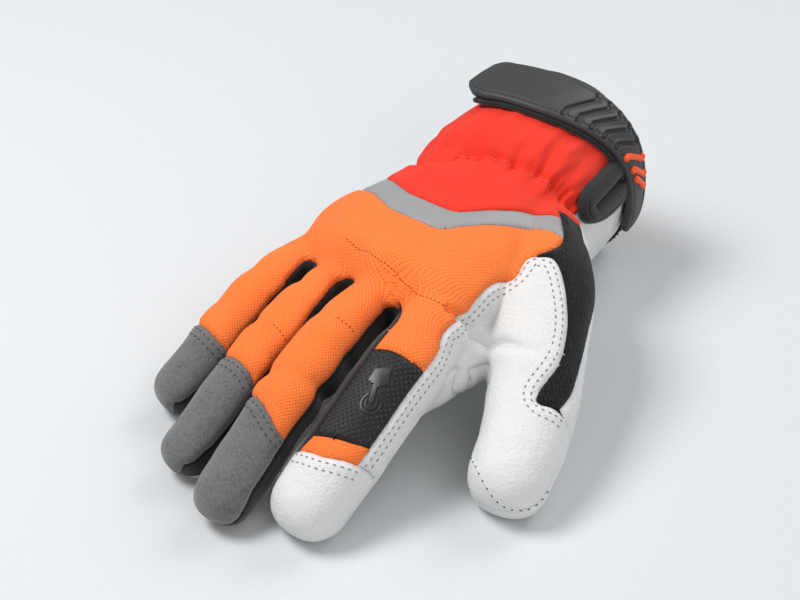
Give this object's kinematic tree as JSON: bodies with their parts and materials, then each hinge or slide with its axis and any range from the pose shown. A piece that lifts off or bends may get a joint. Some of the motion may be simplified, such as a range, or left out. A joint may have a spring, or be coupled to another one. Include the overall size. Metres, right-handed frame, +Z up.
{
  "type": "chainsaw glove",
  "caption": "Right-hand work glove for sawing: mesh back, white leather palm, suede fingertips, gathered red cuff and rubber wrist strap, lying palm down.",
  "frame": {"origin": "centre of the bounding box's underside, on the surface that the glove lies on", "axes": "+Z up through the back of the hand, -Y toward the fingertips, +X toward the thumb"},
  "size_m": [0.1472, 0.227, 0.0756],
  "materials": {
    "orange_mesh": "open knitted polyester mesh, matt",
    "red_twill": "fine woven twill, matt",
    "reflective_tape": "glass bead retroreflective tape, satin",
    "goat_leather": "white pebbled goat leather, semi matt",
    "grey_suede": "grey speckled suede, matt",
    "black_stretch": "black stretch knit, matt",
    "black_knit": "fuzzy black rib knit, matt",
    "patch_rubber": "black moulded patch with glossy dots",
    "binding_tape": "charcoal woven binding, matt",
    "hook_backing": "black hook and loop backing, matt",
    "strap_rubber": "dark grey moulded rubber, satin",
    "orange_rubber": "orange moulded rubber, satin"
  },
  "bodies": {
    "root": {"back_mesh": "orange_mesh", "index_band": "orange_mesh", "cuff_fabric": "red_twill", "reflective_tape": "reflective_tape", "palm_leather": "goat_leather", "side_leather": "goat_leather", "index_cap": "goat_leather", "middle_cap": "grey_suede", "ring_cap": "grey_suede", "little_cap": "grey_suede", "index_middle_strip": "black_stretch", "middle_ring_strip": "black_stretch", "ring_little_strip": "black_stretch", "thumb_knit": "black_knit", "touch_patch": "patch_rubber", "hem_binding": "binding_tape", "slit_binding": "binding_tape", "strap_backing": "hook_backing", "wrist_strap": "strap_rubber", "strap_rib_1": "orange_rubber", "strap_rib_2": "orange_rubber", "strap_rib_3": "orange_rubber"}
  },
  "joints": []
}
